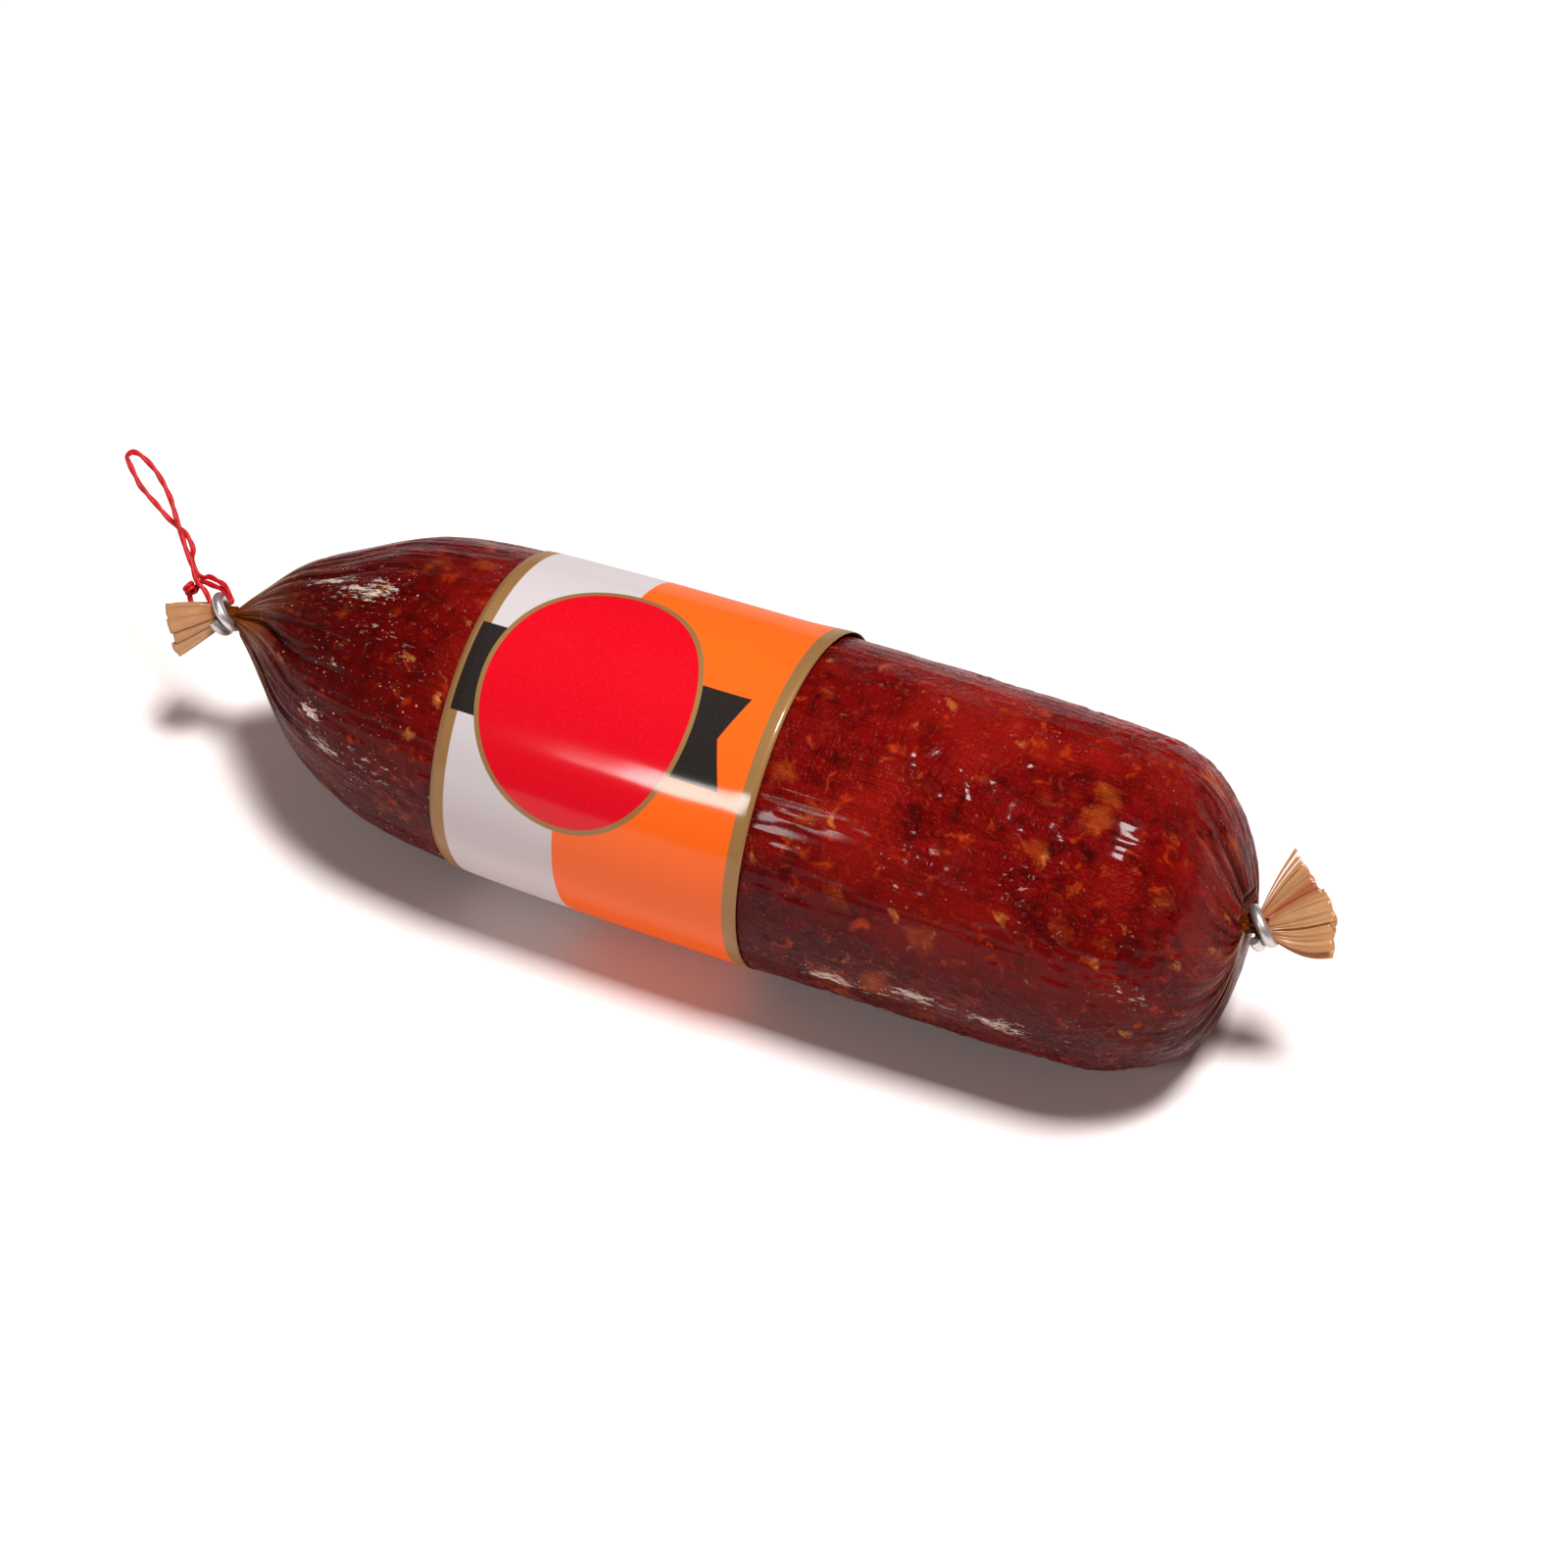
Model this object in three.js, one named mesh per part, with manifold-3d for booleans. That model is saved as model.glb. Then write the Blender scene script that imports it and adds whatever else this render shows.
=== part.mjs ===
// A whole salami in its fibrous casing, lying on its side on a level surface.
// Millimetres, +Z up. X runs along the sausage, from the end with the hanging loop (-X) to the
// rounder end (+X). The origin is on the resting surface, under the middle of the whole piece.

import * as THREE from "three";
import { mergeVertices } from "three/addons/utils/BufferGeometryUtils.js";
import Module from "manifold-3d";

const wasm = await Module();
wasm.setup();

const v3 = (x, y, z) => new THREE.Vector3(x, y, z);

// ---- driving dimensions ----
const BODY_R = 48.4; // radius of the stuffed body at its thickest
const AXIS_Z = 46.8; // height of the body's axis: the underside is flattened by its own weight
const BAND_X = [-69, 24.5]; // the two edges of the paper band
const PAPER = 0.4; // paper thickness
const GAP = 0.3; // gap between touching pieces
const NECK_R = 3; // the casing where a clip gathers it
const WIRE_R = 1.6; // clip wire
const STRING_R = 0.8;

// Radius of the stuffed body along X: a long drawn-in cone at the loop end, a blunt dome at the
// other, dimpled where the clip draws it in.
const BODY_OUTLINE = [
  [-158.5, 3], [-154.5, 7], [-148, 12.4], [-139, 20.4], [-131, 27.3], [-123, 32.8],
  [-112, 38.4], [-98, 43.3], [-80, 46], [-50, 47.6], [10, BODY_R], [75, 48.2], [108, 47.4],
  [124, 46.1], [136, 40.7], [145, 32.8], [150.5, 23.4], [153, 14], [153, 7], [152, 3],
];

// Each gathered end: the middle of its clip, and the way the empty casing points from there.
const LOOP_END = {
  clip: v3(-162.5, 1.8, AXIS_Z + 1.7),
  way: v3(-0.85, -0.37, -0.37).normalize(),
  clipTilt: v3(-0.8, -0.4, -0.44).normalize(),
  wireStart: v3(0, 0, -1),
  leanFrom: 36, // where its radius is this or less, the body leaves its axis to reach the clip
  rise: 3.2, // how far it also stands above the line from its axis to the clip
  sag: 0, // how far the rounding below the barrel's full radius hangs down
  tailLength: 16,
  tailSpread: 24, // half angle of the fan, in degrees
  tailThickness: 5,
  tailAcross: v3(0.5, -0.5, -0.7),
};
const PLAIN_END = {
  clip: v3(156.5, 2, AXIS_Z + 4.8),
  way: v3(0.83, 0.41, 0.38).normalize(),
  clipTilt: v3(0.82, 0.42, 0.39).normalize(),
  wireStart: v3(0, -1, 0),
  leanFrom: 19,
  rise: 0,
  sag: 7,
  tailLength: 20,
  tailSpread: 48,
  tailThickness: 4.5,
  tailAcross: v3(-0.56, 0.51, 0.65),
};

const BODY_SIDES = 48;
const BODY_RINGS = 46;
const BAND_SIDES = 64;
const BAND_RINGS = 8;
const WIRE_SIDES = 10;
const WIRE_STEPS = 40;
const STRING_SIDES = 8;
const STRING_STEPS = 72;

// ---- materials ----
const finish = (colour, roughness, metalness = 0) =>
  new THREE.MeshStandardMaterial({ color: colour, roughness, metalness });
const CASING = finish(0x6e120c, 0.3);
const PRINTED_PAPER = finish(0xe8722c, 0.35);
const CLIP_WIRE = finish(0xb4b3b2, 0.35, 1);
const RED_STRING = finish(0xd4161c, 0.5);

// ---- solids ----
const toSolid = (geometry) => {
  const bare = geometry.clone();
  bare.deleteAttribute("normal");
  bare.deleteAttribute("uv");
  const merged = mergeVertices(bare, 1e-4);
  return new wasm.Manifold(
    new wasm.Mesh({
      numProp: 3,
      vertProperties: merged.attributes.position.array,
      triVerts: new Uint32Array(merged.index.array),
    }),
  );
};

const toGeometry = (solid) => {
  const mesh = solid.getMesh();
  return new THREE.BufferGeometry()
    .setAttribute("position", new THREE.BufferAttribute(mesh.vertProperties, 3))
    .setIndex(new THREE.BufferAttribute(mesh.triVerts, 1));
};

const named = (name, geometry, material) => {
  const mesh = new THREE.Mesh(geometry, material);
  mesh.name = name;
  return mesh;
};

// Moves a shape built round the origin along +Z so that it stands at a point and points a way.
const placed = (geometry, point, way, across) => {
  const side = across.clone().addScaledVector(way, -across.dot(way)).normalize();
  const basis = new THREE.Matrix4().makeBasis(side, way.clone().cross(side), way);
  return geometry.applyMatrix4(basis.setPosition(point));
};

const rod = (radius, length, sides) =>
  new THREE.CylinderGeometry(radius, radius, length, sides).rotateX(Math.PI / 2);

const alongPath = (radius, sides, steps, path) => {
  const section = new THREE.Shape();
  section.absarc(0, 0, radius, 0, 2 * Math.PI);
  return new THREE.ExtrudeGeometry(section, {
    steps, curveSegments: sides / 2, extrudePath: path,
  });
};

// A solid of revolution about the body's axis. Its outline is a list of [x, radius].
const turned = (outline, sides) => {
  const closed = [[outline[0][0], 0], ...outline, [outline.at(-1)[0], 0]];
  const points = closed.map(([x, r]) => new THREE.Vector2(r, x));
  return new THREE.LatheGeometry(points, sides)
    .rotateZ(-Math.PI / 2)
    .translate(0, 0, AXIS_Z);
};

// Everything below this height between two X positions.
const slabUnder = (height, fromX, toX) => {
  const depth = 30;
  const slab = new THREE.BoxGeometry(toX - fromX, 4 * BODY_R, depth);
  slab.translate((fromX + toX) / 2, 0, height - depth / 2);
  return toSolid(slab);
};

const bodyCurve = new THREE.SplineCurve(BODY_OUTLINE.map(([x, r]) => new THREE.Vector2(x, r)));
const finePoints = bodyCurve.getPoints(400);
const bodyRadius = (x) => {
  const i = finePoints.findIndex((p) => p.x > x);
  const [a, b] = [finePoints[i - 1], finePoints[i]];
  return a.y + ((b.y - a.y) * (x - a.x)) / (b.x - a.x);
};

// Moves the body's two tips off its axis, to where the clips pinch the casing, and lets the
// stuffing sag towards the surface where the rounder end closes.
const leanTips = (geometry) => {
  const position = geometry.attributes.position;
  for (let i = 0; i < position.count; i++) {
    const [x, y, z] = [position.getX(i), position.getY(i), position.getZ(i)];
    const { clip, leanFrom, rise, sag } = x < 0 ? LOOP_END : PLAIN_END;
    const radius = Math.hypot(y, z - AXIS_Z);
    const t = 1 - THREE.MathUtils.smoothstep(radius, NECK_R, leanFrom);
    const closed = THREE.MathUtils.clamp((BODY_R - radius) / (BODY_R - NECK_R), 0, 1);
    const down = sag * Math.sin(Math.PI * closed) ** 2;
    position.setY(i, y + t * clip.y);
    position.setZ(i, z + t * (clip.z - AXIS_Z) + 4 * t * (1 - t) * rise - down);
  }
  return geometry;
};

// ---- clips: a stout wire closed round the neck, its two cut ends lying side by side ----
const WIRE_TURNS = 1.32;
const WIRE_PITCH = 2 * WIRE_R + 0.35;
const WRAP_R = NECK_R + GAP + WIRE_R;

class WrappedWire extends THREE.Curve {
  getPoint(t, target = new THREE.Vector3()) {
    const angle = t * WIRE_TURNS * 2 * Math.PI;
    const rise = (t - 0.5) * WIRE_PITCH * WIRE_TURNS;
    return target.set(WRAP_R * Math.cos(angle), WRAP_R * Math.sin(angle), rise);
  }
}

// The wire starts on the body's side of the clip, at wireStart round the neck.
const clipWire = ({ clip, clipTilt, wireStart }) =>
  placed(alongPath(WIRE_R, WIRE_SIDES, WIRE_STEPS, new WrappedWire()), clip, clipTilt, wireStart);

// The room that a clip and its gap take up.
const clipRoom = ({ clip, clipTilt }) => {
  const halfLength = (WIRE_PITCH * WIRE_TURNS) / 2 + WIRE_R + GAP;
  const room = rod(WRAP_R + WIRE_R + GAP, 2 * halfLength, 24);
  return toSolid(placed(room, clip, clipTilt, v3(0, 1, 0)));
};

// ---- sausage: the stuffed casing, from one gathered end to the other ----
const neck = ({ clip, clipTilt }) =>
  toSolid(placed(rod(NECK_R, 15, 20), clip, clipTilt, v3(0, 1, 0)));

// The empty casing past a clip spreads from the neck into a fan.
const tail = ({ clip, way, clipTilt, tailLength, tailSpread, tailThickness, tailAcross }) => {
  const spread = THREE.MathUtils.degToRad(tailSpread);
  const fan = new THREE.Shape();
  fan.moveTo(-NECK_R, 0);
  fan.absarc(0, 0, tailLength, Math.PI / 2 + spread, Math.PI / 2 - spread, true);
  fan.lineTo(NECK_R, 0);
  const plate = new THREE.ExtrudeGeometry(fan, {
    depth: tailThickness, bevelEnabled: false, curveSegments: 10,
  });
  // The fan's middle line, built along +Y, turns to +Z.
  plate.translate(0, 0, -tailThickness / 2).rotateX(Math.PI / 2);
  return toSolid(placed(plate, clip, way, tailAcross));
};

const sausage = () => {
  const rings = bodyCurve.getPoints(BODY_RINGS).map((p) => [p.x, p.y]);
  const besideBand = 2.5;
  let solid = toSolid(leanTips(turned(rings, BODY_SIDES)))
    .subtract(slabUnder(0, -200, 200))
    .subtract(slabUnder(PAPER + GAP, BAND_X[0] - besideBand, BAND_X[1] + besideBand));
  for (const end of [LOOP_END, PLAIN_END])
    solid = solid.add(tail(end)).subtract(clipRoom(end)).add(neck(end));
  return solid;
};

// ---- paper_band: the printed sleeve wrapped round the body ----
const paperBand = () => {
  const past = 3;
  const plug = (offset, from, to) => {
    const rings = Array.from({ length: BAND_RINGS + 1 }, (_, i) => {
      const x = from + ((to - from) * i) / BAND_RINGS;
      return [x, bodyRadius(x) + offset];
    });
    return toSolid(turned(rings, BAND_SIDES));
  };
  const outside = plug(GAP + PAPER, BAND_X[0], BAND_X[1]);
  const inside = plug(GAP, BAND_X[0] - past, BAND_X[1] + past);
  return outside
    .subtract(slabUnder(0, -100, 100))
    .subtract(inside.subtract(slabUnder(PAPER, -100, 100)));
};

// ---- hanging_loop: one stiff twisted string that the clip pinches at both ends ----
// It leaves the neck on the tail side of the clip, twists up with its own return run, opens into
// an eye, comes back, and arches over the clip into the neck on the body side.
const LOOP_ROUTE = [
  [-167.9, 2.7, 50.4], [-170.7, 4.9, 51.8], [-173.9, 6.2, 53.4], [-176.1, 8.5, 55.1],
  [-178.3, 10.5, 57.2], [-180.5, 12.4, 58.8], [-182.9, 14.8, 60.9], [-185.0, 16.9, 63.0],
  [-187.7, 19.7, 65.1], [-190.5, 22.5, 67.2], [-193.4, 24.7, 69.2], [-197.1, 27.0, 71.4],
  [-200.8, 28.4, 73.2], [-203.8, 29.2, 74.2], [-206.2, 29.1, 74.4], [-207.4, 27.9, 73.5],
  [-205.9, 26.4, 71.9], [-203.5, 24.7, 70.1], [-200.8, 22.9, 68.1], [-197.8, 21.7, 66.5],
  [-194.3, 20.5, 64.7], [-190.3, 19.0, 62.7], [-186.4, 17.8, 61.3], [-183.3, 17.0, 60.3],
  [-180.9, 15.7, 59.1], [-179.0, 13.9, 57.6], [-178.5, 12.1, 55.8], [-177.0, 10.3, 53.8],
  [-175.3, 9.3, 52.6], [-173.4, 9.1, 52.5], [-171.6, 9.2, 53.4], [-168.2, 8.2, 54.1],
  [-164.9, 7.0, 54.3], [-162.7, 5.6, 53.6], [-162.1, 5.0, 52.7],
].map((p) => v3(...p));

const hangingLoop = () => {
  const route = new THREE.CatmullRomCurve3(LOOP_ROUTE, false, "centripetal");
  return alongPath(STRING_R, STRING_SIDES, STRING_STEPS, route);
};

// ---- loop_knot: the knot that joins the string's ends, with one cut end left below it ----
const KNOT = v3(-176.1, 5.3, 50.2);
const KNOT_END = v3(-176, 4, 46.6);

const loopKnot = () => {
  const lump = new THREE.SphereGeometry(2.1, 16, 12).scale(1, 0.85, 1.05);
  const way = KNOT_END.clone().sub(KNOT);
  const stub = placed(
    rod(STRING_R, way.length(), 10),
    KNOT.clone().lerp(KNOT_END, 0.5), way.clone().normalize(), v3(1, 0, 0),
  );
  return toGeometry(toSolid(lump.translate(...KNOT.toArray())).add(toSolid(stub)));
};

// ---- the whole piece ----
const salami = new THREE.Group();
salami.add(
  named("sausage", toGeometry(sausage()), CASING),
  named("paper_band", toGeometry(paperBand()), PRINTED_PAPER),
  named("clip_loop_end", clipWire(LOOP_END), CLIP_WIRE),
  named("clip_plain_end", clipWire(PLAIN_END), CLIP_WIRE),
  named("hanging_loop", hangingLoop(), RED_STRING),
  named("loop_knot", loopKnot(), RED_STRING),
);

export default salami;
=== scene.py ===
"""A whole salami in its casing, with a printed paper band, two wire clips and a string loop.

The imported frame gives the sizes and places. Each operator makes one piece, or one group of like
pieces, and the last ones make the stage. Lengths in the lists below are millimetres, and a
helper turns them into metres.
"""

import math

import bpy
import numpy as np
from bpy.props import FloatProperty, FloatVectorProperty, PointerProperty
from mathutils import Matrix, Vector


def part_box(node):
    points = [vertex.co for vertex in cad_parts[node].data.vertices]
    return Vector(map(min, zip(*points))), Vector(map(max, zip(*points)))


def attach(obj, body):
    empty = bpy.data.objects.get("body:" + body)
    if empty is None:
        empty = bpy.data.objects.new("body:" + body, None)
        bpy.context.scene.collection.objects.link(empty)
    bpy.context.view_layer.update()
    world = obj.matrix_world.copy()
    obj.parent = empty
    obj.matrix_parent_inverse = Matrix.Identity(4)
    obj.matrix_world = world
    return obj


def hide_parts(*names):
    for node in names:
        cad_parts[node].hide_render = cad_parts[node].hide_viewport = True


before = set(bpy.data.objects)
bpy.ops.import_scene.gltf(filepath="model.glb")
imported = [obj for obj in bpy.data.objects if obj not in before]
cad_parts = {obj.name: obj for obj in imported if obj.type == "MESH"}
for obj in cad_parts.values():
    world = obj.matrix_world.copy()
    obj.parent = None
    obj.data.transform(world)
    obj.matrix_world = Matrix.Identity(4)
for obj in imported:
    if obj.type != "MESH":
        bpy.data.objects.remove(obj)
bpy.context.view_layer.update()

bl_info = {
    "name": "Whole salami",
    "version": (1, 0, 0),
    "blender": (4, 5, 0),
    "location": "3D View > Sidebar > Salami",
    "description": "Builds a whole salami in its casing, and the stage that it lies on",
    "category": "Add Mesh",
}

MM = 0.001
BODY = "root"

# ---- the frame's sizes, in millimetres ----
# Radius of the stuffed body along X, as in the frame.
BODY_OUTLINE = [
    (-158.5, 3), (-154.5, 7), (-148, 12.4), (-139, 20.4), (-131, 27.3), (-123, 32.8),
    (-112, 38.4), (-98, 43.3), (-80, 46), (-50, 47.6), (10, 48.4), (75, 48.2), (108, 47.4),
    (124, 46.1), (136, 40.7), (145, 32.8), (150.5, 23.4), (153, 14), (153, 7), (152, 3),
]
BAND_LOW, BAND_HIGH = (np.array(corner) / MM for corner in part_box("paper_band"))
SAUSAGE_LOW, SAUSAGE_HIGH = (np.array(corner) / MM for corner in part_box("sausage"))
BODY_R = SAUSAGE_HIGH[1]
AXIS_Z = SAUSAGE_HIGH[2] - BODY_R
PAPER = 0.3
GAP = 0.3
NECK_R = 3.0
WIRE_R = 1.6
WRAP_R = 4.9
WIRE_TURNS = 1.32
WIRE_PITCH = 2 * WIRE_R + 0.35
STRING_R = 0.8
PLY_STEP = 0.32
PLY_PITCH = 13
PLY_SIDES = 9
NECK_RINGS = 6
NECK_SKIN_R = 2.7


def unit(vector):
    vector = np.array(vector, float)
    return vector / np.linalg.norm(vector)


class End:
    """A gathered end: the middle of its clip, and the ways the clip and the tail point."""

    def __init__(self, clip, tilt, way, across, wire_start, lean_from, rise, sag):
        self.clip = np.array(clip, float)
        self.tilt = unit(tilt)
        self.way = unit(way)
        self.across = unit(np.array(across) - np.dot(across, self.way) * self.way)
        self.wire_start = np.array(wire_start, float)
        self.lean_from = lean_from
        self.rise = rise
        self.sag = sag


LOOP_END = End(
    clip=(-162.5, 1.8, AXIS_Z + 1.7),
    tilt=(-0.8, -0.4, -0.44),
    way=(-0.85, -0.37, -0.37),
    across=(0.5, -0.5, -0.7),
    wire_start=(0, 0, -1),
    lean_from=36,
    rise=3.2,
    sag=0,
)
PLAIN_END = End(
    clip=(156.5, 2, AXIS_Z + 4.8),
    tilt=(0.82, 0.42, 0.39),
    way=(0.83, 0.41, 0.38),
    across=(-0.56, 0.51, 0.65),
    wire_start=(0, -1, 0),
    lean_from=19,
    rise=0,
    sag=7,
)

# The side of the neck, square to the clip's axis, where the string is pinched.
STRING_SIDE = unit((-0.588, 0.45, 0.67))
# The hanging loop's route, as in the frame: out of the neck on the tail side, up round the
# eye, back across its own run, and over the clip into the neck on the body side.
LOOP_ROUTE = [
    (-167.9, 2.7, 50.4), (-170.7, 4.9, 51.8), (-173.9, 6.2, 53.4), (-176.1, 8.5, 55.1),
    (-178.3, 10.5, 57.2), (-180.5, 12.4, 58.8), (-182.9, 14.8, 60.9), (-185.0, 16.9, 63.0),
    (-187.7, 19.7, 65.1), (-190.5, 22.5, 67.2), (-193.4, 24.7, 69.2), (-197.1, 27.0, 71.4),
    (-200.8, 28.4, 73.2), (-203.8, 29.2, 74.2), (-206.2, 29.1, 74.4), (-207.4, 27.9, 73.5),
    (-205.9, 26.4, 71.9), (-203.5, 24.7, 70.1), (-200.8, 22.9, 68.1), (-197.8, 21.7, 66.5),
    (-194.3, 20.5, 64.7), (-190.3, 19.0, 62.7), (-186.4, 17.8, 61.3), (-183.3, 17.0, 60.3),
    (-180.9, 15.7, 59.1), (-179.0, 13.9, 57.6), (-178.5, 12.1, 55.8), (-177.0, 10.3, 53.8),
    (-175.3, 9.3, 52.6), (-173.4, 9.1, 52.5), (-171.6, 9.2, 53.4), (-168.2, 8.2, 54.1),
    (-164.9, 7.0, 54.3), (-162.7, 5.6, 53.6), (-162.1, 5.0, 52.7),
]
KNOT = (-176.1, 5.3, 50.2)
# The string's second run over the clip, between the knot and the neck.
SECOND_RUN = [
    (-176.0, 6.0, 50.6), (-174.2, 7.9, 51.3), (-172.2, 8.0, 52.0), (-169.0, 7.2, 52.4),
    (-165.7, 6.6, 52.8), (-163.6, 5.6, 52.8), (-161.9, 4.4, 51.9),
]
CUT_END = [(-176.3, 5.0, 49.6), (-176.2, 4.6, 48.0), (-175.9, 4.2, 46.6), (-175.5, 3.9, 45.4)]


# ---- numbers on grids ----
def smooth(low, high, value):
    t = np.clip((value - low) / (high - low), 0, 1)
    return t * t * (3 - 2 * t)


def lattice(points, seed):
    """Smooth random values between -1 and 1 over an (n, 3) array of points, in cells of 1."""
    whole = np.floor(points).astype(np.int64)
    part = points - whole
    part = part * part * (3 - 2 * part)
    total = np.zeros(len(points))
    for corner in range(8):
        step = np.array([corner >> 2 & 1, corner >> 1 & 1, corner & 1])
        key = (whole + step) @ np.array([73856093, 19349663, 83492791]) + seed * 7919
        key = (key ^ (key >> 13)) * 1274126177 & 0x7FFFFFFF
        value = ((key ^ (key >> 16)) & 0xFFFF) / 32767.5 - 1
        total += value * np.prod(np.where(step, part, 1 - part), axis=1)
    return total


def layered(points, seed, octaves=3):
    total = sum(lattice(points * 2**i, seed + i) / 2**i for i in range(octaves))
    return total / sum(0.5**i for i in range(octaves))


def mesh_object(name, points, faces, material, smooth_faces=True):
    """points are in millimetres."""
    mesh = bpy.data.meshes.new(name)
    mesh.from_pydata((np.asarray(points) * MM).tolist(), [], faces)
    mesh.materials.append(material)
    mesh.shade_smooth() if smooth_faces else mesh.shade_flat()
    made = bpy.data.objects.new(name, mesh)
    bpy.context.collection.objects.link(made)
    return made


def grid_faces(rows, columns, closed=False):
    """Faces between consecutive rows of points; closed joins the last column to the first."""
    wide = columns if closed else columns - 1
    r, c = np.meshgrid(np.arange(rows - 1), np.arange(wide), indexing="ij")
    n = (c + 1) % columns
    corners = [r * columns + c, r * columns + n, (r + 1) * columns + n, (r + 1) * columns + c]
    return np.stack(corners, axis=-1).reshape(-1, 4).tolist()


def sheet_faces(rows, columns):
    """Faces of a thin closed sheet: one grid of points, then its other side in the same order."""
    total = rows * columns
    front = grid_faces(rows, columns)
    back = [[corner + total for corner in reversed(face)] for face in front]
    edges = (
        (range(columns), True),
        (range(total - columns, total), False),
        (range(0, total, columns), False),
        (range(columns - 1, total, columns), True),
    )
    rim = []
    for line, flip in edges:
        for a, b in zip(line, line[1:]):
            face = [a, b, b + total, a + total]
            rim.append(face[::-1] if flip else face)
    return front + back + rim


def add_attribute(made, name, kind, values):
    attribute = made.data.attributes.new(name, kind, "POINT")
    key = "vector" if kind == "FLOAT_VECTOR" else "value"
    attribute.data.foreach_set(key, np.asarray(values, np.float32).ravel())


def cubic(b, c, start, stop, t):
    """The curve from b to c that leaves along start and arrives along stop."""
    square, cube = t**2, t**3
    return (
        b + start * t + (-3 * b + 3 * c - 2 * start - stop) * square
        + (2 * b - 2 * c + start + stop) * cube
    )


def smooth_path(points, per_span):
    """A centripetal curve through the points, as in the frame."""
    p = np.array(points, float)
    p = np.vstack([2 * p[0] - p[1], p, 2 * p[-1] - p[-2]])
    made = []
    for i in range(1, len(p) - 2):
        a, b, c, d = p[i - 1 : i + 3]
        u, v, w = (math.sqrt(np.linalg.norm(e)) for e in (b - a, c - b, d - c))
        start = ((b - a) / u - (c - a) / (u + v) + (c - b) / v) * v
        stop = ((c - b) / v - (d - b) / (v + w) + (d - c) / w) * v
        t = np.linspace(0, 1, per_span, endpoint=False)[:, None]
        made.append(cubic(b, c, start, stop, t))
    return np.vstack([*made, p[-2:-1]])


def evenly(path, step):
    """The same path with its points a step apart."""
    lengths = np.linalg.norm(np.diff(path, axis=0), axis=1)
    along = np.concatenate([[0], np.cumsum(lengths)])
    wanted = np.linspace(0, along[-1], max(2, round(along[-1] / step) + 1))
    return np.stack([np.interp(wanted, along, path[:, k]) for k in range(3)], axis=1)


def carried_frames(path):
    """Two side directions that don't spin along a path."""
    tangents = np.gradient(path, axis=0)
    tangents /= np.linalg.norm(tangents, axis=1)[:, None]
    side = np.cross(tangents[0], [0.3, 0.2, 0.9])
    sides = []
    for tangent in tangents:
        side = side - np.dot(side, tangent) * tangent
        side = side / np.linalg.norm(side)
        sides.append(side)
    sides = np.array(sides)
    return sides, np.cross(tangents, sides)


# ---- the body's surface ----
def outline_curve():
    """The body's outline as a dense line of (x, radius, arc length), from the loop end."""
    p = np.array(BODY_OUTLINE, float)
    p = np.vstack([p[0], p, p[-1]])
    t = np.linspace(0, 1, 60, endpoint=False)[:, None]
    spans = []
    for a, b, c, d in zip(p, p[1:], p[2:], p[3:]):
        spans.append(cubic(b, c, (c - a) / 2, (d - b) / 2, t))
    line = np.vstack([*spans, p[-1:]])
    along = np.concatenate([[0], np.cumsum(np.linalg.norm(np.diff(line, axis=0), axis=1))])
    return line[:, 0], line[:, 1], along


OUTLINE_X, OUTLINE_R, OUTLINE_S = outline_curve()
BODY_LENGTH = OUTLINE_S[-1]


def along_at(x):
    """Arc length along the outline at a place on the barrel."""
    return np.interp(x, OUTLINE_X[: np.argmax(OUTLINE_X)], OUTLINE_S[: np.argmax(OUTLINE_X)])


class Pleats:
    """Creases that run along the body from a gathered end, each with its own place and reach."""

    def __init__(self, count, seed, reach, depth, width):
        random = np.random.default_rng(seed)
        spacing = 2 * math.pi / count
        self.angles = spacing * (np.arange(count) + random.uniform(-0.38, 0.38, count))
        self.depths = depth * random.uniform(0.35, 1.0, count) ** 1.3
        self.reaches = reach(self.angles, random)
        self.width = width
        self.phases = random.uniform(0, 2 * math.pi, (count, 2))

    def height(self, away, angle, radius):
        """away is the distance from the clip along the surface."""
        total = np.zeros_like(angle)
        deepest = np.zeros_like(angle)
        for start, depth, reach, (one, two) in zip(
            self.angles, self.depths, self.reaches, self.phases
        ):
            wander = 0.05 * np.sin(away / 17 + one) + 0.025 * np.sin(away / 7 + two)
            turn = (angle - start - wander * smooth(0, 40, away) + math.pi) % (2 * math.pi)
            offset = np.abs(turn - math.pi) * radius
            wide = self.width[0] + self.width[1] * radius
            fade = 1 - smooth(0.35 * reach, reach, away)
            valley = fade * np.exp(-offset / wide)
            total -= depth * valley
            deepest = np.maximum(deepest, valley * depth / self.depths.max())
        return total, deepest


def loop_end_reach(angles, random):
    return random.uniform(45, 125, len(angles))


def plain_end_reach(angles, random):
    """Angles are measured up from -Y: the creases run longest below and over the top."""
    low = np.exp(-(((np.degrees(angles) + 210) % 360 - 180) / 32) ** 2)
    high = np.exp(-(((np.degrees(angles) + 75) % 360 - 180) / 38) ** 2)
    longest = 34 + 34 * low + 36 * high
    return longest * random.uniform(0.55, 1.15, len(angles))


LOOP_PLEATS = Pleats(44, 11, loop_end_reach, 2.6, (0.3, 0.032))
PLAIN_PLEATS = Pleats(38, 5, plain_end_reach, 4.6, (0.4, 0.05))


def lean(radius, end):
    """How far the body stands off its axis where it has this radius, in Y and in Z."""
    t = 1 - smooth(NECK_R, end.lean_from, radius)
    closed = np.clip((BODY_R - radius) / (BODY_R - NECK_R), 0, 1)
    rise = 4 * t * (1 - t) * end.rise - end.sag * np.sin(math.pi * closed) ** 2
    return t * end.clip[1], t * (end.clip[2] - AXIS_Z) + rise


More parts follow.
